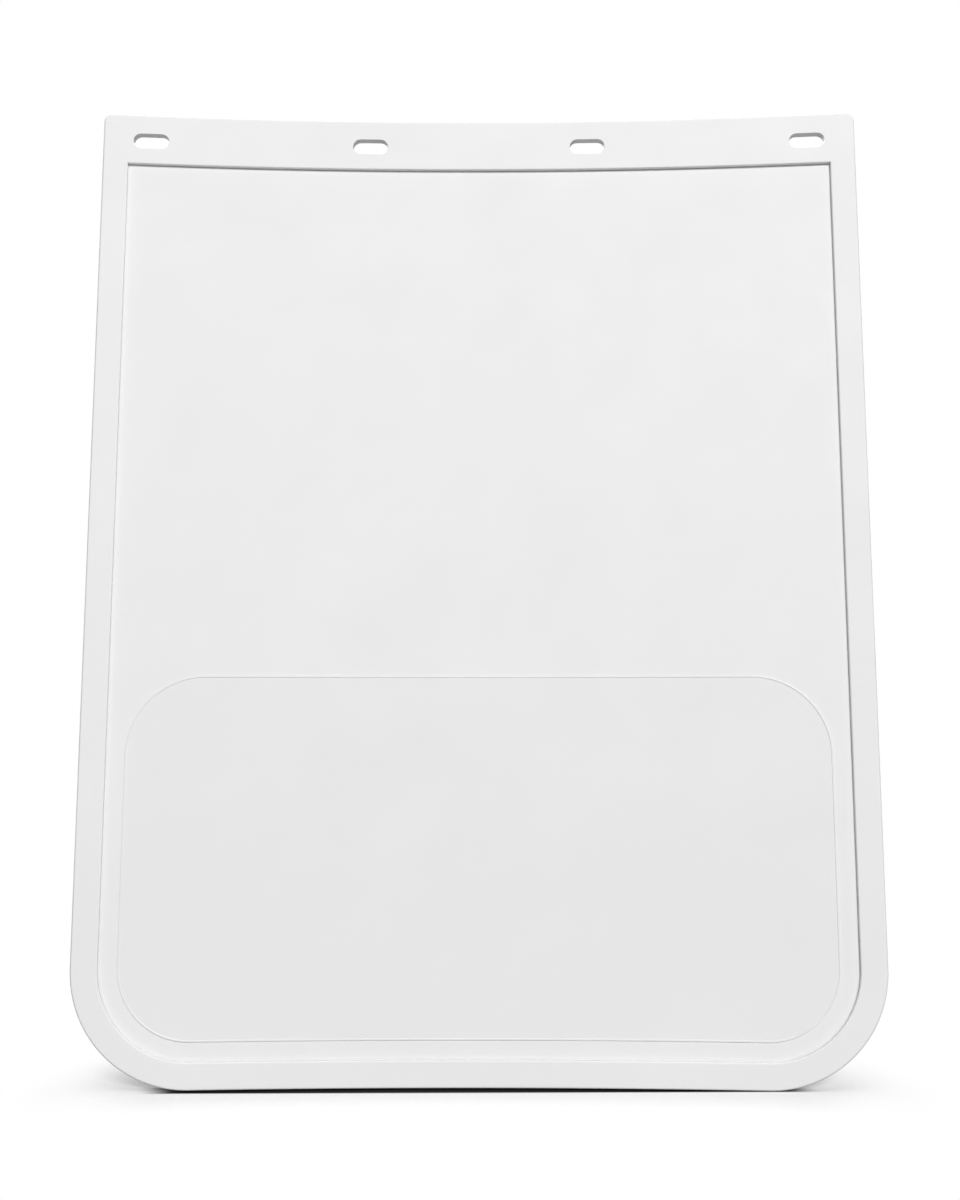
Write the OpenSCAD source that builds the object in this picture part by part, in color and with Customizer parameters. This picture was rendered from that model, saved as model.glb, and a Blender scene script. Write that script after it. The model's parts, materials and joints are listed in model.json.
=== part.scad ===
// Truck mud flap, moulded in one piece. It stands on its lower edge, held upright by its bow.
// The front faces -Y, +X is to the right seen from the front, and +Z is up. The origin is on
// the surface that the flap stands on, midway across it and midway through its depth.

/* [Outline] */
// Width of the flap, measured along the sheet
flap_w = 609.6; // [450:0.1:760]
// Height of the flap
flap_h = 762; // [500:1:1200]
// Radius of the two lower corners
corner_r = 89; // [60:1:140]
// Radius of the two upper corners
top_corner_r = 6; // [2:0.5:20]
// Radius that the back face is bowed to, about an upright axis in front of the flap
bow_r = 3350; // [1500:50:9000]

/* [Thickness] */
// Thickness of the web inside the rim
web_t = 3.35; // [2:0.05:6]
// How far the header and the rim stand out of the web
step_h = 3; // [1:0.1:6]
// How far the lower pad stands out of the web
pad_h = 0.5; // [0.3:0.1:2]
// How far the lip along the pad's edge stands out of the pad
lip_h = 0.4; // [0.2:0.1:1]

/* [Header and rim] */
// Height of the header band along the top
header_h = 41; // [36:0.5:80]
// Width of the rim down the sides and along the bottom
rim_w = 20; // [10:0.5:30]

/* [Lower pad] */
// Gap between the rim and the pad, left, right and below
pad_gap = 14; // [6:0.5:25]
// Height of the pad
pad_tall = 273; // [150:1:400]
// Radius of the pad's two upper corners
pad_top_r = 60; // [10:1:100]
// Width of the lip along the pad's edge
lip_w = 1.5; // [1:0.1:5]

/* [Bolt slots] */
// Number of slots across the header
slot_count = 4; // [2:1:6]
// Length of a slot, end to end
slot_l = 28.6; // [16:0.1:40]
// Width of a slot
slot_w = 12.7; // [8:0.1:14]
// From the side of the flap to the centre of the nearest slot
slot_inset = 38.1; // [30:0.1:60]
// From the top edge of the flap to the centre of the slots
slot_drop = 21.8; // [14:0.1:26]

/* [Moulded edges] */
// Rounding of the outer edges, front and back
edge_r = 1; // [0.3:0.1:1.4]
// Rounding along the step from the header and the rim down to the web
step_r = 1.2; // [0.5:0.1:3]
// Rounding along the outer edge of the pad's lip
lip_r = 0.5; // [0.1:0.1:0.8]

/* [Hidden] */

moulded_white = "#EFEFEF";

// Facets in each corner, along the lower edge between the corners, and in each rounding
corner_steps = 18;
lower_steps = 22;
round_steps = 4;
slot_fn = 64;

// The most of a wall that its rounding may take up
round_share = 0.9;
// How far a cutter runs past what it cuts
cut_over = 1;

full_t = web_t + step_h;
step_z = flap_h - header_h;
pad_inset = rim_w + pad_gap;
slot_pitch = (flap_w - 2 * slot_inset) / (slot_count - 1);

// Depth of the whole bowed flap from front to back, and the shift that centres it on Y = 0
flap_deep = bow_r - (bow_r - full_t) * cos(turn(flap_w / 2 - edge_r));
bow_shift = bow_r - flap_deep / 2;

// Each outline is [half width, bottom, top, lower corner radius, upper corner radius]
flap_outline = [flap_w / 2, 0, flap_h, corner_r, top_corner_r];
recess_outline = [flap_w / 2 - rim_w, rim_w, step_z, corner_r - rim_w, 0];
pad_outline = [
    flap_w / 2 - pad_inset, pad_inset, pad_inset + pad_tall, corner_r - pad_inset, pad_top_r
];

// Angle round the bow, in degrees, of a place u across the sheet from its middle
function turn(u) = u / bow_r * 180 / PI;

// A place on the bowed flap: u across the sheet, n out of its back face, v up
function bowed(u, n, v) = [
    (bow_r - n) * sin(turn(u)),
    (bow_r - n) * cos(turn(u)) - bow_shift,
    v
];

// An outline drawn in by d all round. A sharp upper corner stays sharp.
function drawn_in(o, d) = [o[0] - d, o[1] + d, o[2] - d, o[3] - d, o[4] > 0 ? o[4] - d : 0];

// Points [u, v] along the lower side of an outline from left to right, round both corners
function lower_run(o) = let (flat = o[0] - o[3], z = o[1] + o[3]) [
    for (i = [0 : corner_steps])
        let (a = 180 + 90 * i / corner_steps) [-flat + o[3] * cos(a), z + o[3] * sin(a)],
    for (i = [1 : lower_steps - 1]) [flat * (2 * i / lower_steps - 1), o[1]],
    for (i = [0 : corner_steps])
        let (a = 270 + 90 * i / corner_steps) [flat + o[3] * cos(a), z + o[3] * sin(a)]
];

// Height of the upper side of an outline at u
function upper_v(o, u) = let (past = max(0, abs(u) - (o[0] - o[4])))
    o[2] - o[4] + sqrt(max(0, o[4] * o[4] - past * past));

// A closed ring on the bowed flap, n out of its back face: the lower side of an outline from
// left to right, then its upper side, straight above, from right to left
function ring(o, n) = let (low = lower_run(o)) [
    for (p = low) bowed(p[0], n, p[1]),
    for (p = reversed(low)) bowed(p[0], n, upper_v(o, p[0]))
];

// Rings round one outline. A profile's points are [drawn in by, out of the back face].
function rings(o, profile) = [for (p = profile) ring(drawn_in(o, p[0]), p[1])];

// Profile of an edge's rounding from the side wall to the face at n, which looks to the front
// where way is 1 and to the back where it is -1
function rounding(n, r, way) = [
    for (i = [0 : round_steps])
        let (a = 90 * i / round_steps) [r * (1 - cos(a)), n - way * r * (1 - sin(a))]
];

// The same profile on the wall of an opening, which spreads instead of drawing in
function spread(profile) = [for (p = profile) [-p[0], p[1]]];

// The same profile as the far side of a lip of width w, from its top back down
function far_side(profile, w) = [for (p = reversed(profile)) [w - p[0], p[1]]];

function reversed(list) = [for (i = [len(list) - 1 : -1 : 0]) list[i]];

// Triangles between rings a and b of m points each
function band(a, b, m) = [
    for (i = [0 : m - 1])
        let (j = (i + 1) % m)
            each [[a * m + i, b * m + i, b * m + j], [a * m + i, b * m + j, a * m + j]]
];

// Triangles that close ring a of m points with upright strips
function closed_face(a, m) = [
    for (i = [0 : m / 2 - 2])
        each [
            [a * m + i, a * m + i + 1, a * m + m - 2 - i],
            [a * m + i, a * m + m - 2 - i, a * m + m - 1 - i]
        ]
];

// A plate lofted through rings from its back face to its front face
module lofted_plate(loops) {
    m = len(loops[0]);
    last = len(loops) - 1;
    polyhedron(
        points = [for (loop = loops) each loop],
        faces = [
            each closed_face(0, m),
            for (k = [0 : last - 1]) each band(k, k + 1, m),
            for (f = closed_face(last, m)) reversed(f)
        ]
    );
}

// A frame lofted through rings: up its outer wall, over its face, down into its opening and
// back underneath
module lofted_frame(loops) {
    m = len(loops[0]);
    count = len(loops);
    polyhedron(
        points = [for (loop = loops) each loop],
        faces = [for (k = [0 : count - 1]) each band(k, (k + 1) % count, m)]
    );
}

// The raised border round the web, header and rim in one
module raised_border() {
    outer_r = min(edge_r, round_share * step_h);
    inner_r = min(step_r, round_share * step_h);
    lofted_frame(concat(
        rings(flap_outline, concat([[0, web_t]], rounding(full_t, outer_r, 1))),
        rings(recess_outline, concat(reversed(spread(rounding(full_t, inner_r, 1))), [[0, web_t]]))
    ));
}

// The space above the header's lower side
module header_space() {
    translate([-flap_w / 2, -flap_deep, step_z])
        cube([flap_w, 2 * flap_deep, header_h + cut_over]);
}

// Cutters for the row of slots, straight through along the bolts
module bolt_slots() {
    deep = flap_deep + 2 * cut_over;
    straight = slot_l - slot_w;
    for (i = [0 : slot_count - 1])
        translate([slot_inset - flap_w / 2 + i * slot_pitch, 0, flap_h - slot_drop]) {
            cube([straight, deep, slot_w], center = true);
            for (side = [-1, 1])
                translate([side * straight / 2, 0, 0])
                    rotate([90, 0, 0])
                        cylinder(d = slot_w, h = deep, center = true, $fn = slot_fn);
        }
}

// The thin sheet that runs the whole height and width, behind everything else
module flap_sheet() {
    outer_r = min(edge_r, round_share * web_t);
    color(moulded_white)
        difference() {
            lofted_plate(rings(flap_outline, concat(reversed(rounding(0, outer_r, -1)), [[0, web_t]])));
            bolt_slots();
        }
}

// The thick band that the bracket clamps
module header_band() {
    color(moulded_white)
        difference() {
            intersection() {
                raised_border();
                header_space();
            }
            bolt_slots();
        }
}

// The thick edge down both sides and along the bottom
module rim_bead() {
    color(moulded_white)
        difference() {
            raised_border();
            header_space();
        }
}

// The raised panel low on the web, round the same corners as the rim, with a fine lip along its
// edge
module lower_pad() {
    pad_z = web_t + pad_h;
    lip_z = pad_z + lip_h;
    outer_r = min(lip_r, round_share * (pad_h + lip_h), lip_w / 2);
    inner_r = min(round_share * lip_h, round_share * lip_w / 2);
    color(moulded_white)
        lofted_plate(rings(pad_outline, concat(
            [[0, web_t]],
            rounding(lip_z, outer_r, 1),
            far_side(rounding(lip_z, inner_r, 1), lip_w),
            [[lip_w, pad_z]]
        )));
}

flap_sheet();
header_band();
rim_bead();
lower_pad();
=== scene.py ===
# %% [markdown]
# # A moulded mud flap in white rubber
# A mud flap hangs behind a truck's wheel. It is one sheet of rubber, moulded in one shot: a thick
# header with slots for the bracket's bolts, a thick rim down the sides and along the bottom, a
# thinner web between them, and a low raised pad where the most spray hits. Here it stands on its
# lower edge, held upright by a slight bow.
#
# The mould is cut flat, and the flap only bows when it stands. The script works the same way.
# Each piece is drawn flat on a board, with u across it, v up it and n out of its back face, and
# one Geometry Nodes group then stands it up and bows it.

# %% Load the construction
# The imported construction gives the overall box, the places of the mounts and the one body.
import json
import math

import bmesh
import bpy
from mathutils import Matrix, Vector


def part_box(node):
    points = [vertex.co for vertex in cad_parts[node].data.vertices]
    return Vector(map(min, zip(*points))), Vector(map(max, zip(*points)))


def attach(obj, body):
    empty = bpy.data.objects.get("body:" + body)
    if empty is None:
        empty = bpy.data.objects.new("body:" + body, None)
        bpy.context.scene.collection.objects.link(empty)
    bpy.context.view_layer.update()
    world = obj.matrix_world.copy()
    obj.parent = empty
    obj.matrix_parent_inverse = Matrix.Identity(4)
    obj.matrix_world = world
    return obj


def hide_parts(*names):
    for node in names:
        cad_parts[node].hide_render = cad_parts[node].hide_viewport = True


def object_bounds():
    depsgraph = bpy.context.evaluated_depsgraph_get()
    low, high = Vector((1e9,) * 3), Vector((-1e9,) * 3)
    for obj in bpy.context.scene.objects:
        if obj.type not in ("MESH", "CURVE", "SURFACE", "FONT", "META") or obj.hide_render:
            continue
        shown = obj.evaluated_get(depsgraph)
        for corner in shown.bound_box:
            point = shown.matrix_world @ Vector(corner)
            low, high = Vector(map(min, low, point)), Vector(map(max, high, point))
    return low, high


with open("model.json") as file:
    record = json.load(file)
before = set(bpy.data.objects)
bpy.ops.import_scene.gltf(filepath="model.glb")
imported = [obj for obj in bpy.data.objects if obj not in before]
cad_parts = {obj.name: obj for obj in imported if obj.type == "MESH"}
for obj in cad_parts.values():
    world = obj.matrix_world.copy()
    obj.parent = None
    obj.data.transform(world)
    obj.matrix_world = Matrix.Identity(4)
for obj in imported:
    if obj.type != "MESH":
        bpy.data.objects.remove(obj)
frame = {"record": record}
cad_low, cad_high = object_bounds()
record = frame["record"]

# %% [markdown]
# ## Sizes
# What the construction states is read from it: the height, the width along the bow, the pad's
# place and the slots. The thicknesses, radii and the bow can't be read from a box, so they are
# written here once, in millimetres, and everything else is worked out from them.

# %% Sizes of the moulding
MM = 0.001

BOW_R = 3350 * MM     # the back face is bowed to this radius
WEB_T = 3.35 * MM     # the thin web
STEP_H = 3 * MM       # header and rim above the web
PAD_H = 0.5 * MM      # pad above the web
LIP_H = 0.4 * MM      # lip above the pad
LIP_W = 1.5 * MM      # width of that lip
RIM_W = 20 * MM
CORNER_R = 89 * MM    # lower corners of the flap
TOP_CORNER_R = 6 * MM
PAD_TOP_R = 60 * MM   # upper corners of the pad
EDGE_R = 1 * MM       # rounding of the outer edges at the back
FRONT_R = 1.6 * MM    # and at the front
STEP_R = 1.0 * MM     # rounding along the step down to the web
FOOT_R = 0.4 * MM     # hollow rounding at the foot of that step
LIP_R = 0.5 * MM      # outer rounding of the pad's lip
SLOT_R = 0.3 * MM     # rounding of the slots' edges

FULL_T = WEB_T + STEP_H
flap_h = cad_high.z
half_w = BOW_R * math.asin(cad_high.x / (BOW_R - EDGE_R))
bow_shift = BOW_R - cad_high.y

step_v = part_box("header_band")[0].z
pad_low, pad_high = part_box("lower_pad")
pad_inset = pad_low.z

mounts = {mount["name"]: mount for mount in record["mounts"]}
inner, outer = mounts["inner_slots"], mounts["outer_slots"]
slot_pitch = inner["dims"]["spacing_x_mm"] * MM
slot_count = inner["dims"]["count"] + outer["dims"]["count"]
slot_l = inner["dims"]["slot_length_mm"] * MM
slot_w = 2 * inner["dims"]["hole_r_mm"] * MM
slot_v = inner["pos_m"][2]

print(f"flap {2 * half_w / MM:.1f} x {flap_h / MM:.1f} mm, header from {step_v / MM:.1f} mm up")
print(f"{slot_count} slots, {slot_pitch / MM:.1f} mm apart, {slot_v / MM:.1f} mm up")

# %% [markdown]
# ## Camera
# The eye is a little over a flap's height away, a third of the way up, and looks slightly
# upwards. So the flap's sides draw together towards the top, and its bowed top edge sags in the
# middle. The lens is a plain 35 mm on a 36 mm frame.

# %% Camera
EYE = Vector((3.4, -901.8, 256.3)) * MM
TILT_UP = math.radians(6.92)
TURN_LEFT = math.radians(0.155)

camera = bpy.data.objects.new("camera", bpy.data.cameras.new("camera"))
camera.data.lens = 35
camera.data.sensor_width = 36
camera.data.clip_start = 0.01
camera.location = EYE
camera.rotation_euler = (math.pi / 2 + TILT_UP, 0, TURN_LEFT)
bpy.context.collection.objects.link(camera)
bpy.context.scene.camera = camera
print(f"eye {EYE.length:.2f} m from the flap's foot")

# %% [markdown]
# ## Outlines
# Every piece of the flap has an outline of one kind: straight sides, two round lower corners and
# two upper corners. It could be drawn as a curve and filleted. Points from a formula are better
# here, because each point of the lower side then has one straight above it on the upper side.
# The faces between them are upright strips, which bend cleanly round an upright axis.

# %% Outlines
CORNER_STEPS = 36
LOWER_STEPS = 48


def lower_run(half, bottom, radius):
    """Points (u, v) along the lower side from left to right, round both corners."""
    flat, v = half - radius, bottom + radius
    turns = [math.pi * (1 + k / CORNER_STEPS / 2) for k in range(CORNER_STEPS + 1)]
    left = [(radius * math.cos(a) - flat, radius * math.sin(a) + v) for a in turns]
    middle = [(flat * (2 * k / LOWER_STEPS - 1), bottom) for k in range(1, LOWER_STEPS)]
    right = [(-u, v) for u, v in reversed(left)]
    return left + middle + right


def upper_v(half, top, radius, u):
    """Height of the upper side at u."""
    past = max(0, abs(u) - (half - radius))
    return top - radius + math.sqrt(max(0, radius**2 - past**2))


def ring(outline, drawn_in, n):
    """One closed ring of points at height n, the outline drawn in by a distance all round."""
    half, bottom, top, low_r, high_r = outline
    half, bottom, top, low_r = half - drawn_in, bottom + drawn_in, top - drawn_in, low_r - drawn_in
    high_r = high_r - drawn_in if high_r else 0
    low = lower_run(half, bottom, low_r)
    high = [(u, upper_v(half, top, high_r, u)) for u, _ in reversed(low)]
    return [(u, v, n) for u, v in low + high]


flap_outline = (half_w, 0, flap_h, CORNER_R, TOP_CORNER_R)
recess_outline = (half_w - RIM_W, RIM_W, step_v, CORNER_R - RIM_W, 0)
pad_outline = (half_w - pad_inset, pad_inset, pad_high.z, CORNER_R - pad_inset, PAD_TOP_R)
print("points in a ring:", len(ring(flap_outline, 0, 0)))

# %% [markdown]
# ## Edge profiles
# No edge of a moulding is sharp, and the light shows each one as a thin line. A profile is a
# list of steps: how far the outline is drawn in, and how far out of the back face. A Bevel
# modifier would round the edges too, but a profile says exactly which edge gets which radius,
# and the same one serves the header and the rim, so that they meet without a seam.

# %% Edge profiles
ROUND_STEPS = 6


def rounding(n, radius, way):
    """Quarter round from a side wall to the face at n. With way 1 it falls away below n, and
    with way -1 it rises above n."""
    turns = [math.pi / 2 * k / ROUND_STEPS for k in range(ROUND_STEPS + 1)]
    return [(radius * (1 - math.cos(a)), n - way * radius * (1 - math.sin(a))) for a in turns]


def spread(profile):
    """The same profile turned outwards, for the wall of an opening."""
    return [(-d, n) for d, n in profile]


def far_side(profile, width):
    """The same profile as the far side of a lip, from its top back down."""
    return [(width - d, n) for d, n in reversed(profile)]


border_outside = [(0, WEB_T), *rounding(FULL_T, FRONT_R, 1)]
border_inside = [*reversed(spread(rounding(FULL_T, STEP_R, 1))), *rounding(WEB_T, FOOT_R, -1)]
print("steps in the border's profile:", len(border_outside) + len(border_inside))

# %% [markdown]
# ## Lofting
# A loft joins one ring to the next with four-sided faces. A plate is closed at both ends, and a
# frame is closed by joining its last ring to its first. bmesh does this directly. Normals are
# worked out at the end, so that every face points outwards whichever way its ring ran.

# %% Loft rings into a mesh
SAME_POINT = 0.001 * MM   # points nearer than this are merged


def as_object(name, build):
    """Closes a bmesh and returns it as an object in the scene."""
    bmesh.ops.remove_doubles(build, verts=build.verts, dist=SAME_POINT)
    bmesh.ops.recalc_face_normals(build, faces=build.faces)
    mesh = bpy.data.meshes.new(name)
    build.to_mesh(mesh)
    build.free()
    piece = bpy.data.objects.new(name, mesh)
    bpy.context.collection.objects.link(piece)
    return piece


def join_rings(build, one, other):
    """Faces between two rings of vertices."""
    for k in range(len(one)):
        build.faces.new((one[k - 1], one[k], other[k], other[k - 1]))


def close_ring(build, verts):
    """Closes a ring with strips, each between two points below and the two above them."""
    last = len(verts) - 1
    for k in range(len(verts) // 2 - 1):
        build.faces.new((verts[k], verts[k + 1], verts[last - k - 1], verts[last - k]))


def loft(rings, closed_ends):
    """A bmesh lofted through rings, with its ends closed or joined to each other."""
    build = bmesh.new()
    loops = [[build.verts.new(point) for point in points] for points in rings]
    for one, other in zip(loops, loops[1:]):
        join_rings(build, one, other)
    if closed_ends:
        close_ring(build, loops[0])
        close_ring(build, loops[-1])
    else:
        join_rings(build, loops[-1], loops[0])
    return build


# %% [markdown]
# ## Geometry Nodes by script
# One function adds a node with its settings and its links. Another starts a tree with named
# inputs, and a third puts a tree on a piece. A modifier keeps each input under the socket's
# identifier, not its name, so the identifiers are looked up.

# %% Node and tree helpers
def add_node(tree, kind, settings=None, inputs=None):
    """Adds a node, sets its properties, and links or sets its inputs."""
    node = tree.nodes.new(kind)
    for name, value in (settings or {}).items():
        setattr(node, name, value)
    for key, value in (inputs or {}).items():
        if isinstance(value, bpy.types.NodeSocket):
            tree.links.new(value, node.inputs[key])
        else:
            node.inputs[key].default_value = value
    return node


def maths(tree, operation, *values):
    """Adds an arithmetic node and returns its result."""
    node = add_node(tree, "ShaderNodeMath", {"operation": operation}, dict(enumerate(values)))
    return node.outputs[0]


def smooth_step(tree, value, low, high):
    """0 below the low value, 1 above the high one and a smooth rise between."""
    node = add_node(
        tree,
        "ShaderNodeMapRange",
        {"interpolation_type": "SMOOTHSTEP"},
        {0: value, 1: low, 2: high, 3: 0.0, 4: 1.0},
    )
    return node.outputs[0]


def new_tree(name, inputs):
    """A Geometry Nodes tree with the named inputs, and its group input node."""
    tree = bpy.data.node_groups.new(name, "GeometryNodeTree")
    tree.interface.new_socket("Geometry", in_out="OUTPUT", socket_type="NodeSocketGeometry")
    tree.interface.new_socket("Geometry", in_out="INPUT", socket_type="NodeSocketGeometry")
    for label, kind in inputs.items():
        tree.interface.new_socket(label, in_out="INPUT", socket_type=kind)
    return tree, add_node(tree, "NodeGroupInput").outputs


def put_on(piece, tree, values):
    """Adds the tree to a piece as a modifier and sets its named inputs."""
    modifier = piece.modifiers.new(tree.name, "NODES")
    modifier.node_group = tree
    for item in tree.interface.items_tree:
        if item.in_out == "INPUT" and item.name in values:
            modifier[item.identifier] = values[item.name]


# %% [markdown]
# ## Stand and bow
# A free rubber flap stands up only because it curves, as a sheet of paper does. Bending could be
# done with a Simple Deform modifier. The formula of a cylinder is exact, though: a point that is
# u across the board goes round the axis by u over the radius, and it keeps its distance n from
# the back face. All four pieces go through this one group, so they still fit after bending.

# %% Tree that stands a piece up and bows it
stand_and_bow, given = new_tree(
    "stand_and_bow", {"Bow Radius": "NodeSocketFloat", "Bow Shift": "NodeSocketFloat"}
)
place = add_node(stand_and_bow, "GeometryNodeInputPosition")
board = add_node(stand_and_bow, "ShaderNodeSeparateXYZ", inputs={0: place.outputs[0]}).outputs
turn = maths(stand_and_bow, "DIVIDE", board["X"], given["Bow Radius"])
reach = maths(stand_and_bow, "SUBTRACT", given["Bow Radius"], board["Z"])
across = maths(stand_and_bow, "MULTIPLY", reach, maths(stand_and_bow, "SINE", turn))
depth = maths(stand_and_bow, "MULTIPLY", reach, maths(stand_and_bow, "COSINE", turn))
behind = maths(stand_and_bow, "SUBTRACT", depth, given["Bow Shift"])
stood = add_node(
    stand_and_bow, "ShaderNodeCombineXYZ", inputs={"X": across, "Y": behind, "Z": board["Y"]}
).outputs[0]
moved = add_node(
    stand_and_bow,
    "GeometryNodeSetPosition",
    inputs={"Geometry": given["Geometry"], "Position": stood},
)
add_node(stand_and_bow, "NodeGroupOutput", inputs={0: moved.outputs[0]})
print("nodes in stand_and_bow:", len(stand_and_bow.nodes))

# %% Ending that every piece's tree shares
COMMON_INPUTS = {
    "Bow Radius": "NodeSocketFloat",
    "Bow Shift": "NodeSocketFloat",
    "Material": "NodeSocketMaterial",
}


def end_tree(tree, given, geometry):
    """Bows the geometry, makes it real and gives it its material."""
    bowed = add_node(
        tree,
        "GeometryNodeGroup",
        {"node_tree": stand_and_bow},
        {0: geometry, 1: given["Bow Radius"], 2: given["Bow Shift"]},
    )
    real = add_node(tree, "GeometryNodeRealizeInstances", inputs={0: bowed.outputs[0]})
    finished = add_node(
        tree,
        "GeometryNodeSetMaterial",
        inputs={"Geometry": real.outputs[0], "Material": given["Material"]},
    )
    add_node(tree, "NodeGroupOutput", inputs={0: finished.outputs[0]})


plain_tree, given = new_tree("plain_plate", COMMON_INPUTS)
end_tree(plain_tree, given, given["Geometry"])

# %% [markdown]
# ## The row of slots
# The bracket's bolts pass through four slots, all alike and evenly spaced, so they are a pattern.
# The tree lays points along a line, puts a cutter on each, and takes the cutters away from the
# piece. The sheet and the header are separate pieces, but both get the same row, so their slots
# run through without a step. The cutter flares at both faces, which rounds the slots' edges.

# %% Slot cutter
ARC_STEPS = 16
CUT_OVER = 2 * MM


def slot_ring(spread_by, n):
    """Points round a slot whose wall is moved out by a distance."""
    radius, flat = slot_w / 2 + spread_by, (slot_l - slot_w) / 2
    turns = [math.pi * (k / ARC_STEPS - 0.5) for k in range(ARC_STEPS + 1)]
    right = [(flat + radius * math.cos(a), radius * math.sin(a), n) for a in turns]
    return right + [(-u, -v, n) for u, v, _ in right]


def make_cutter():
    """A slot-shaped prism that flares where it leaves the back and the front."""
    back = [(SLOT_R, -CUT_OVER), *reversed(rounding(0, SLOT_R, -1))]
    front = [*rounding(FULL_T, SLOT_R, 1), (SLOT_R, FULL_T + CUT_OVER)]
    profile = back + front
    build = bmesh.new()
    loops = [[build.verts.new(point) for point in slot_ring(d, n)] for d, n in profile]
    for one, other in zip(loops, loops[1:]):
        join_rings(build, one, other)
    build.faces.new(loops[0])
    build.faces.new(loops[-1])
    return as_object("slot_cutter", build)


cutter = make_cutter()
print("slot cutter:", [round(side / MM, 2) for side in cutter.dimensions], "mm")

# %% Tree that cuts the row of slots
slotted_tree, given = new_tree(
    "slotted_plate",
    {
        "Cutter": "NodeSocketObject",
        "Slot Count": "NodeSocketInt",
        "Slot Pitch": "NodeSocketFloat",
        "Slot Height": "NodeSocketFloat",
        **COMMON_INPUTS,
    },
)
gaps = maths(slotted_tree, "SUBTRACT", given["Slot Count"], 1.0)
row_length = maths(slotted_tree, "MULTIPLY", gaps, given["Slot Pitch"])
first_u = maths(slotted_tree, "MULTIPLY", row_length, -0.5)
first = add_node(
    slotted_tree, "ShaderNodeCombineXYZ", inputs={"X": first_u, "Y": given["Slot Height"]}
).outputs[0]
stride = add_node(
    slotted_tree, "ShaderNodeCombineXYZ", inputs={"X": given["Slot Pitch"]}
).outputs[0]
row = add_node(
    slotted_tree,
    "GeometryNodeMeshLine",
    inputs={"Count": given["Slot Count"], "Start Location": first, "Offset": stride},
)
one_cutter = add_node(slotted_tree, "GeometryNodeObjectInfo", inputs={"Object": given["Cutter"]})
cutters = add_node(
    slotted_tree,
    "GeometryNodeInstanceOnPoints",
    inputs={"Points": row.outputs[0], "Instance": one_cutter.outputs["Geometry"]},
)
real_cutters = add_node(
    slotted_tree, "GeometryNodeRealizeInstances", inputs={0: cutters.outputs[0]}
)
cut = add_node(
    slotted_tree,
    "GeometryNodeMeshBoolean",
    {"operation": "DIFFERENCE", "solver": "EXACT"},
    {"Mesh 1": given["Geometry"], "Mesh 2": real_cutters.outputs[0]},
)
end_tree(slotted_tree, given, cut.outputs["Mesh"])
print("nodes in slotted_plate:", len(slotted_tree.nodes))

# %% [markdown]
# ## The swept rim
# The rim has the same section all the way down one side, along the bottom and up the other. A
# piece like that is a sweep: a section drawn once and carried along a path. The path is the
# flap's outer edge, kept as bare edges in a mesh. The tree turns path and section into curves
# and sweeps one along the other. Curve normals are set to Z up, so the section never twists.

# %% Tree that sweeps a section along a path
swept_tree, given = new_tree("swept_rim", {"Section": "NodeSocketObject", **COMMON_INPUTS})
path = add_node(swept_tree, "GeometryNodeMeshToCurve", inputs={"Mesh": given["Geometry"]})
flat_path = add_node(
    swept_tree, "GeometryNodeSetCurveNormal", {"mode": "Z_UP"}, {"Curve": path.outputs[0]}
)
section_shape = add_node(swept_tree, "GeometryNodeObjectInfo", inputs={"Object": given["Section"]})
section_curve = add_node(
    swept_tree, "GeometryNodeMeshToCurve", inputs={"Mesh": section_shape.outputs["Geometry"]}
)
sweep = add_node(
    swept_tree,
    "GeometryNodeCurveToMesh",
    inputs={
        "Curve": flat_path.outputs[0],
        "Profile Curve": section_curve.outputs[0],
        "Fill Caps": True,
    },
)
end_tree(swept_tree, given, sweep.outputs[0])
print("nodes in swept_rim:", len(swept_tree.nodes))

# %% [markdown]
# ## Moulded white rubber
# The flap is compression-moulded rubber, coloured through with titanium white. Such rubber is a
# neutral off-white, never blue, because its white is a powder that scatters all light alike. It
# comes out of a blasted steel mould, so its skin is satin: broad, soft highlights and a grain of
# about half a millimetre that is only a few thousandths deep. The filler never mixes perfectly,
# which leaves faint clouds a hand wide, and the skin is a little glossier where the mould was
# worn smooth. A flat white would look like paper, so the clouds, the gloss and the grain each get
# a noise of their own size.
#
# Rubber has an index of refraction of about 1.5. Its blasted skin mirrors less than a polished one
# would, so the specular level is set low. The grain is drawn slightly coarser than a real blasted
# finish, so that it still shows from near by.

# %% Colour and pattern size
def linear(hex_colour):
    """An sRGB hex colour as the linear RGBA that shaders take."""
    parts = [int(hex_colour[k : k + 2], 16) / 255 for k in (1, 3, 5)]
    return [p / 12.92 if p <= 0.04045 else ((p + 0.055) / 1.055) ** 2.4 for p in parts] + [1]


def per_mm(size):
    """Noise scale whose features are about this many millimetres wide."""
    return 1 / (size * MM)


print("white:", [round(part, 3) for part in linear("#EFEFEF")])

# %% [markdown]
# ## Painted shade at the steps and the outer edge
# The white is painted darker where shade falls at the foot of each step. Ambient Occlusion finds
# those places by itself, because it measures how much of the sky a point sees within a few
# millimetres. A narrow band along the outline is painted darker too, as the shade on the rounded
# outer edge, and noise breaks it up. The lowest millimetres are left unpainted, because there the
# floor would count as a step.

# %% Painted shade at the steps and the outer edge
STEP_SHADE_REACH = 3 * MM       # painted shade reaches this far from the foot of a step
SHADED_SKY = 0.35          # share of open sky at which the painted shade is full,
CLEAR_SKY = 0.85          # and at which it is gone
EDGE_SHADE_W = 1.8 * MM        # band along the outer edge that is painted darker as shade
SHADED_SHARE = 0.7         # share of the white that the full painted shade leaves


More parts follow.
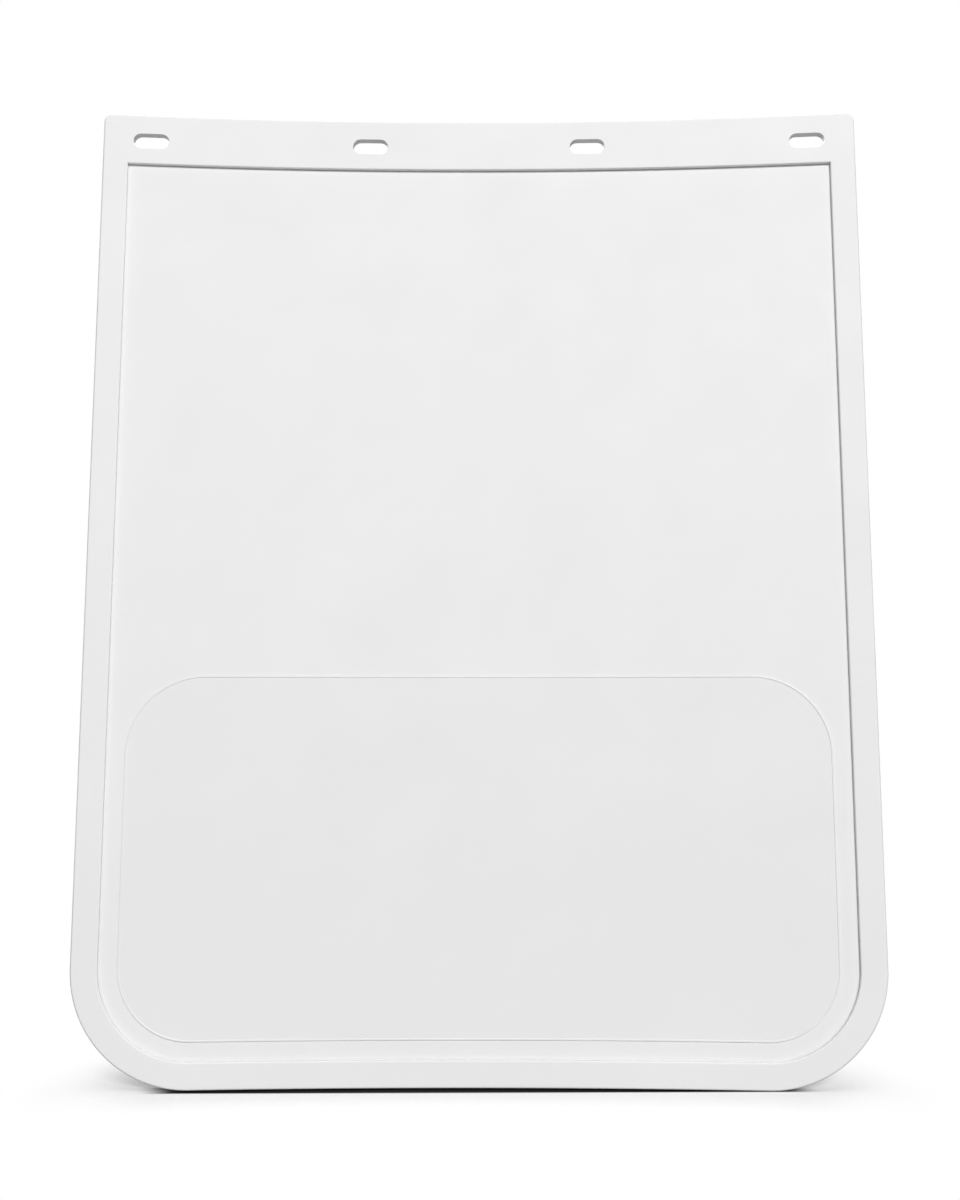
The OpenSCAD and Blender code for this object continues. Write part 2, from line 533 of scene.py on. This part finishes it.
def share_after_painted_shade(tree, place, patch_noise):
    """Share of the white left by the painted shade at the steps' feet and the outer edge."""
    # Painted shade: darker where Ambient Occlusion finds little open sky, at each step's foot
    sky = add_node(
        tree, "ShaderNodeAmbientOcclusion", {"samples": 8}, {"Distance": STEP_SHADE_REACH}
    ).outputs["AO"]
    parts = add_node(tree, "ShaderNodeSeparateXYZ", inputs={0: place}).outputs
    aside = maths(tree, "SUBTRACT", maths(tree, "ABSOLUTE", parts["X"]), cad_high.x - CORNER_R)
    below = maths(tree, "SUBTRACT", CORNER_R, parts["Z"])
    corner = add_node(
        tree,
        "ShaderNodeCombineXYZ",
        inputs={"X": maths(tree, "MAXIMUM", aside, 0.0), "Y": maths(tree, "MAXIMUM", below, 0.0)},
    ).outputs[0]
    outwards = add_node(
        tree, "ShaderNodeVectorMath", {"operation": "LENGTH"}, {0: corner}
    ).outputs["Value"]
    # Painted shade: a narrow band along the outer edge is darkened, broken up by noise
    edge = smooth_step(tree, outwards, CORNER_R - EDGE_SHADE_W, CORNER_R - EDGE_SHADE_W / 2)
    edge_unshaded = maths(tree, "SUBTRACT", 1.0, maths(tree, "MULTIPLY", edge, patch_noise))
    step_unshaded = smooth_step(tree, sky, SHADED_SKY, CLEAR_SKY)
    foot = smooth_step(tree, parts["Z"], 2 * STEP_SHADE_REACH, STEP_SHADE_REACH)
    left_unshaded = maths(tree, "MAXIMUM", maths(tree, "MINIMUM", step_unshaded, edge_unshaded), foot)
    return maths(tree, "ADD", maths(tree, "MULTIPLY", left_unshaded, 1 - SHADED_SHARE), SHADED_SHARE)


# %% White rubber
RUBBER_IOR = 1.5
MIRRORING = 0.3           # specular level, where 0.5 is a polished surface
CLOUD_MM = 90             # width of the clouds in the white,
WEAR_MM = 35              # of the glossier and duller patches,
ROLL_MM = 14              # of the slow unevenness of the skin
GRAIN_MM = 0.6            # and of the mould's grain
CLOUD_ENDS = 0.35, 0.65   # noise levels at which the darker and the lighter white are full
GLOSS_ENDS = 0.3, 0.7     # and at which the skin is glossiest and dullest
GLOSS_SPREAD = 0.04       # how far the roughness strays both ways
ROLL_DEEP = 0.012 * MM    # depth of the unevenness


def moulded_rubber(name, light, shade, roughness, grain):
    """White moulded rubber between two shades, with a mould grain of a given depth in mm."""
    material = bpy.data.materials.new(name)
    material.use_nodes = True
    tree = material.node_tree
    shader = tree.nodes["Principled BSDF"]
    shader.inputs["IOR"].default_value = RUBBER_IOR
    shader.inputs["Specular IOR Level"].default_value = MIRRORING
    place = add_node(tree, "ShaderNodeTexCoord").outputs["Object"]

    clouds = add_node(
        tree, "ShaderNodeTexNoise", inputs={"Vector": place, "Scale": per_mm(CLOUD_MM), "Detail": 3.0}
    ).outputs[0]
    colour = add_node(tree, "ShaderNodeValToRGB", inputs={0: clouds})
    dark_end, light_end = colour.color_ramp.elements
    dark_end.position, light_end.position = CLOUD_ENDS
    dark_end.color, light_end.color = linear(shade), linear(light)
    patch_noise = add_node(
        tree, "ShaderNodeTexNoise", inputs={"Vector": place, "Scale": per_mm(WEAR_MM), "Detail": 4.0}
    ).outputs[0]
    # The colour gets the painted shade at the steps' feet and along the outer edge
    unshaded_share = share_after_painted_shade(tree, place, patch_noise)
    shaded_colour = add_node(
        tree, "ShaderNodeVectorMath", {"operation": "SCALE"}, {0: colour.outputs[0], "Scale": unshaded_share}
    ).outputs[0]
    tree.links.new(shaded_colour, shader.inputs["Base Color"])

    low, high = GLOSS_ENDS
    glossy, dull = roughness - GLOSS_SPREAD, roughness + GLOSS_SPREAD
    gloss = add_node(
        tree, "ShaderNodeMapRange", inputs={0: patch_noise, 1: low, 2: high, 3: glossy, 4: dull}
    )
    tree.links.new(gloss.outputs[0], shader.inputs["Roughness"])

    blasted = add_node(
        tree, "ShaderNodeTexNoise", inputs={"Vector": place, "Scale": per_mm(GRAIN_MM), "Detail": 2.0}
    ).outputs[0]
    rolling = add_node(
        tree, "ShaderNodeTexNoise", inputs={"Vector": place, "Scale": per_mm(ROLL_MM), "Detail": 1.0}
    ).outputs[0]
    coarse = add_node(
        tree, "ShaderNodeBump", inputs={"Height": rolling, "Distance": ROLL_DEEP, "Strength": 1.0}
    ).outputs[0]
    fine = add_node(
        tree,
        "ShaderNodeBump",
        inputs={"Height": blasted, "Distance": grain * MM, "Strength": 1.0, "Normal": coarse},
    )
    tree.links.new(fine.outputs[0], shader.inputs["Normal"])
    return material


white_rubber = moulded_rubber(
    "moulded_white_rubber", light="#EFEFEF", shade="#EDEDED", roughness=0.6, grain=0.006
)
pad_rubber = moulded_rubber(
    "moulded_white_rubber_pad", light="#EEEEEE", shade="#ECECEC", roughness=0.62, grain=0.009
)
print("rubber:", white_rubber.name, pad_rubber.name)

# %% [markdown]
# ## Finishing a piece
# A finished piece is a plain mesh. The tree's result is copied out, its modifier removed, and
# doubled points merged. The faces are shaded smooth, apart from real corners. A big flat face
# beside a small rounding would then look pillowed, because a normal at its edge is an average.
# The Weighted Normal modifier lets the big face win, so that it stays flat to its very edge.

# %% Finish a piece
CORNER_ANGLE = math.radians(35)
bow = {"Bow Radius": BOW_R, "Bow Shift": bow_shift}


def bake_modifiers(piece):
    """Replaces a piece's mesh by what its modifiers make of it."""
    evaluated = piece.evaluated_get(bpy.context.evaluated_depsgraph_get())
    mesh = bpy.data.meshes.new_from_object(evaluated)
    piece.modifiers.clear()
    piece.data = mesh
    mesh.name = piece.name


def finish_piece(piece, node):
    """Turns the piece into one plain, smooth mesh and ties it to the construction."""
    bake_modifiers(piece)
    build = bmesh.new()
    build.from_mesh(piece.data)
    bmesh.ops.remove_doubles(build, verts=build.verts, dist=SAME_POINT)
    bmesh.ops.recalc_face_normals(build, faces=build.faces)
    open_edges = sum(not edge.is_manifold for edge in build.edges)
    build.to_mesh(piece.data)
    build.free()
    piece.data.shade_smooth()
    piece.data.set_sharp_from_angle(angle=CORNER_ANGLE)
    weighted = piece.modifiers.new("flat faces", "WEIGHTED_NORMAL")
    weighted.keep_sharp = True
    bake_modifiers(piece)
    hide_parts(node)
    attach(piece, "root")
    print(f"{piece.name}: {len(piece.data.polygons)} faces, {open_edges} open edges")


# %% [markdown]
# ## The sheet
# The sheet is the whole outline at the web's thickness. Its back edge has the moulding's small
# rounding all round, and its front is where the other pieces sit.

# %% Sheet
def make_sheet():
    """The sheet that runs the whole height and width, with its row of slots."""
    profile = [*reversed(rounding(0, EDGE_R, -1)), (0, WEB_T)]
    sheet = as_object("moulded_sheet", loft([ring(flap_outline, d, n) for d, n in profile], True))
    put_on(sheet, slotted_tree, slot_values)
    return sheet


slot_values = {
    "Cutter": cutter,
    "Slot Count": slot_count,
    "Slot Pitch": slot_pitch,
    "Slot Height": slot_v,
    "Material": white_rubber,
    **bow,
}
sheet = make_sheet()
finish_piece(sheet, "flap_sheet")

# %% [markdown]
# ## The header
# The header and the rim are one raised border on the real flap. Lofting the border as a frame
# gives the mitred corners where the header's step meets the rim's. The frame is then sawn
# straight across at the step, and the upper part, closed where it was sawn, is the header.

# %% Header
def make_header():
    """The upper part of the raised border, with its row of slots."""
    outside = [ring(flap_outline, d, n) for d, n in border_outside]
    inside = [ring(recess_outline, d, n) for d, n in border_inside]
    build = loft(outside + inside, False)
    bmesh.ops.bisect_plane(
        build,
        geom=[*build.verts, *build.edges, *build.faces],
        plane_co=(0, step_v, 0),
        plane_no=(0, 1, 0),
        clear_inner=True,
    )
    bmesh.ops.holes_fill(build, edges=[edge for edge in build.edges if edge.is_boundary])
    header = as_object("moulded_header", build)
    put_on(header, slotted_tree, slot_values)
    return header


header = make_header()
finish_piece(header, "header_band")

# %% [markdown]
# ## The rim
# The rim's section is the border's profile measured from the outer edge. Its path runs down the
# left side, round the corners and up the right side, and ends level with the header's saw cut.

# %% Rim
def edges_object(name, points, closed):
    """A mesh of bare edges through points, for a tree to read as a curve."""
    count = len(points)
    links = [(k, (k + 1) % count) for k in range(count if closed else count - 1)]
    mesh = bpy.data.meshes.new(name)
    mesh.from_pydata(points, links, [])
    piece = bpy.data.objects.new(name, mesh)
    bpy.context.collection.objects.link(piece)
    return piece


def make_rim():
    """The swept border below the header."""
    across = border_outside + [(RIM_W + d, n) for d, n in border_inside]
    section = edges_object("rim_section", [(-d, -n, 0) for d, n in across], True)
    run = [(u, v, 0) for u, v in lower_run(half_w, 0, CORNER_R)]
    rim = edges_object("moulded_rim", [(-half_w, step_v, 0), *run, (half_w, step_v, 0)], False)
    put_on(rim, swept_tree, {"Section": section, "Material": white_rubber, **bow})
    finish_piece(rim, "rim_bead")
    bpy.data.objects.remove(section)
    return rim


rim = make_rim()
bpy.data.objects.remove(cutter)

# %% [markdown]
# ## The pad
# The pad stands half a millimetre out of the web, where stones and spray hit hardest. Its edge
# is a fine lip, left by the groove that the toolmaker cuts round such a panel. It is a plate
# whose profile climbs the lip, crosses it and drops back to the pad's face.

# %% Pad
def make_pad():
    """The raised panel low on the web, with a fine lip along its edge."""
    pad_n = WEB_T + PAD_H
    lip_n = pad_n + LIP_H
    climb = [(0, WEB_T), *rounding(lip_n, LIP_R, 1)]
    drop = far_side(rounding(lip_n, LIP_H, 1), LIP_W)
    rings = [ring(pad_outline, d, n) for d, n in climb + drop]
    pad = as_object("moulded_pad", loft(rings, True))
    put_on(pad, plain_tree, {"Material": pad_rubber, **bow})
    return pad


pad = make_pad()
finish_piece(pad, "lower_pad")

# %% [markdown]
# ## Floor and surroundings
# The flap stands on a seamless white floor. Close to it the floor is matt and takes the flap's
# shadow, and further out it turns to plain white, so that no horizon shows. Only the eye,
# reflections and refractions get that white. Scattered light meets a dim grey floor instead,
# because an endless white one would throw up far more light than a studio's floor does.
#
# Light hardly gets into the narrow hollow between the bowed foot and a straight line across it. A
# path tracer would need lamps much larger and softer than these to show how black it is, so the
# floor's own colour is darkened there, and slightly so over a hand's width in front.

# %% Floor sizes
FLOOR_HALF = 6.0
SIDE_REACH = 135 * MM     # how far the matt floor goes past the flap's ends,
FRONT_REACH = 110 * MM    # in front of it
BACK_REACH = 150 * MM     # and behind it
MATT_WHITE = 0.91
DIM_GREY = "#888888"      # the whole floor as scattered light meets it

FOOT_SHADE = 0.22         # how much darker the floor is just in front of the foot
SHADE_STARTS = -80 * MM   # where that begins, counted from the flap's middle line,
SHADE_FULL = -10 * MM     # where it is full
SHADE_ENDS = 5 * MM       # and where it is gone again
SHADE_HALF = 230 * MM     # half its length,
SHADE_TAIL = 70 * MM      # and how softly it ends

HOLLOW_AHEAD = 7 * MM     # straight front of the dark hollow, ahead of the origin
HOLLOW_SLANT = 0.0128     # slope of that front, which runs a little askew
HOLLOW_BACK = 7 * MM      # bowed back of the hollow, behind the flap's middle line
HOLLOW_HALF = 240 * MM    # half its length
FRONT_BLUR = 1.5 * MM     # how softly its front ends,
BACK_BLUR = 3 * MM        # its back
END_BLUR = 15 * MM        # and its two ends
print(f"hollow under the foot: {2 * HOLLOW_HALF / MM:.0f} mm long")

# %% Floor material
def seen_directly(tree):
    """1 for rays from the eye, in a mirror or through glass, and 0 for scattered light."""
    kinds = add_node(tree, "ShaderNodeLightPath").outputs
    mirrored = maths(tree, "MAXIMUM", kinds["Is Glossy Ray"], kinds["Is Transmission Ray"])
    return maths(tree, "MAXIMUM", kinds["Is Camera Ray"], mirrored)


def fade_to_white(tree, behind, aside):
    """0 at the flap, and 1 where the matt floor has turned to plain white."""
    past_end = maths(tree, "SUBTRACT", aside, half_w - CORNER_R)
    past = maths(tree, "DIVIDE", maths(tree, "MAXIMUM", past_end, 0.0), SIDE_REACH)
    back = maths(tree, "DIVIDE", behind, BACK_REACH)
    front = maths(tree, "DIVIDE", behind, -FRONT_REACH)
    away = add_node(
        tree, "ShaderNodeCombineXYZ", inputs={"X": past, "Y": maths(tree, "MAXIMUM", back, front)}
    ).outputs[0]
    distance = add_node(
        tree, "ShaderNodeVectorMath", {"operation": "LENGTH"}, {0: away}
    ).outputs["Value"]
    return smooth_step(tree, distance, 0.0, 1.0)


def all_of(tree, first, *others):
    """The product of several shares."""
    for other in others:
        first = maths(tree, "MULTIPLY", first, other)
    return first


def floor_shade(tree, parts, behind, aside):
    """Grey of the matt floor, darker in front of the foot and black in its hollow."""
    slanted = maths(tree, "MULTIPLY", parts["X"], HOLLOW_SLANT)
    inside = maths(tree, "SUBTRACT", maths(tree, "ADD", parts["Y"], HOLLOW_AHEAD), slanted)
    hollow = all_of(
        tree,
        smooth_step(tree, inside, -FRONT_BLUR, FRONT_BLUR),
        smooth_step(tree, behind, HOLLOW_BACK + BACK_BLUR, HOLLOW_BACK - BACK_BLUR),
        smooth_step(tree, aside, HOLLOW_HALF + END_BLUR, HOLLOW_HALF - END_BLUR),
    )
    foot = all_of(
        tree,
        smooth_step(tree, behind, SHADE_STARTS, SHADE_FULL),
        smooth_step(tree, behind, SHADE_ENDS, SHADE_FULL),
        smooth_step(tree, aside, SHADE_HALF + SHADE_TAIL, SHADE_HALF),
    )
    white = maths(tree, "SUBTRACT", MATT_WHITE, maths(tree, "MULTIPLY", foot, FOOT_SHADE))
    return maths(tree, "MULTIPLY", white, maths(tree, "SUBTRACT", 1.0, hollow))


def floor_material():
    """Matt white near the flap, plain white beyond, and dim to scattered light."""
    material = bpy.data.materials.new("painted_studio_floor")
    material.use_nodes = True
    tree = material.node_tree
    tree.nodes.remove(tree.nodes["Principled BSDF"])
    place = add_node(tree, "ShaderNodeTexCoord").outputs["Object"]
    parts = add_node(tree, "ShaderNodeSeparateXYZ", inputs={0: place}).outputs
    aside = maths(tree, "ABSOLUTE", parts["X"])
    # How far a point lies behind the flap's bowed middle line, or in front of it when negative
    from_axis = add_node(
        tree, "ShaderNodeVectorMath", {"operation": "DISTANCE"}, {0: place, 1: (0, -bow_shift, 0)}
    ).outputs["Value"]
    behind = maths(tree, "SUBTRACT", from_axis, BOW_R - FULL_T / 2)

    shade = floor_shade(tree, parts, behind, aside)
    fade = fade_to_white(tree, behind, aside)
    matt = add_node(tree, "ShaderNodeBsdfDiffuse", inputs={"Color": shade})
    white = add_node(tree, "ShaderNodeEmission", inputs={"Color": linear("#FFFFFF")})
    dim = add_node(tree, "ShaderNodeBsdfDiffuse", inputs={"Color": linear(DIM_GREY)})
    shown = add_node(
        tree, "ShaderNodeMixShader", inputs={0: fade, 1: matt.outputs[0], 2: white.outputs[0]}
    )
    whole = add_node(
        tree,
        "ShaderNodeMixShader",
        inputs={0: seen_directly(tree), 1: dim.outputs[0], 2: shown.outputs[0]},
    )
    tree.links.new(whole.outputs[0], tree.nodes["Material Output"].inputs["Surface"])
    return material


# %% Floor
build = bmesh.new()
bmesh.ops.create_grid(build, x_segments=1, y_segments=1, size=FLOOR_HALF)
floor = as_object("studio_floor", build)
if floor.data.polygons[0].normal.z < 0:
    floor.data.flip_normals()
floor.data.materials.append(floor_material())
print("floor:", 2 * FLOOR_HALF, "m across")

# %% World
AMBIENT = 0.15            # what the surroundings throw on the flap, as a share of full white

world = bpy.data.worlds.new("studio")
bpy.context.scene.world = world
world.use_nodes = True
tree = world.node_tree
background = tree.nodes["Background"]
background.inputs["Color"].default_value = linear("#FFFFFF")
level = add_node(
    tree, "ShaderNodeMapRange", inputs={0: seen_directly(tree), 3: AMBIENT, 4: 1.0}
)
tree.links.new(level.outputs[0], background.inputs["Strength"])
bpy.context.scene.view_settings.view_transform = "Standard"
print("ambient level:", AMBIENT)

# %% [markdown]
# ## Lamps
# One big soft key hangs in front, above and a little to the right, so the steps that face down or
# left draw thin dark lines and those that face up draw bright ones. It is near enough to fall off
# down the flap. A second lamp behind gives the back the same white as the front, and a third above
# washes the floor, so that the shadow on it stays soft and pale.
#
# Light linking keeps the second lamp off the floor and the third off the flap. Without it, each
# would spoil what the other lamps do.

# %% Lamps
def add_lamp(name, turn, height, distance, size, level):
    """A square lamp that faces the flap's middle. Its level is the share of full white that a
    white card facing it at the flap would show."""
    aim = Vector((0, 0, flap_h / 2))
    turn, height = math.radians(turn), math.radians(height)
    way = Vector(
        (math.sin(turn) * math.cos(height), -math.cos(turn) * math.cos(height), math.sin(height))
    )
    lamp = bpy.data.objects.new(name, bpy.data.lights.new(name, "AREA"))
    lamp.data.shape = "SQUARE"
    lamp.data.size = size
    lamp.data.energy = level * (math.pi * distance) ** 2
    lamp.location = aim + way * distance
    lamp.rotation_euler = way.to_track_quat("Z", "Y").to_euler()
    lamp.visible_camera = False
    bpy.context.collection.objects.link(lamp)
    print(f"{name}: {lamp.data.energy:.0f} W at {distance} m")
    return lamp


def light_only(lamp, objects):
    """Lets a lamp light these objects and nothing else."""
    lit = bpy.data.collections.new(lamp.name + "_lights")
    for item in objects:
        lit.objects.link(item)
    lamp.light_linking.receiver_collection = lit


add_lamp("key_softbox", turn=14, height=28, distance=9.5, size=3.0, level=0.89)
back_lamp = add_lamp("back_softbox", turn=190, height=30, distance=4.0, size=2.0, level=0.92)
light_only(back_lamp, [sheet, header, rim, pad])
floor_lamp = add_lamp("floor_wash", turn=0, height=68, distance=3.0, size=2.0, level=0.55)
light_only(floor_lamp, [floor])

# %% Size of the construction's box
print("cad box:", [round(side / MM, 2) for side in cad_high - cad_low], "mm")
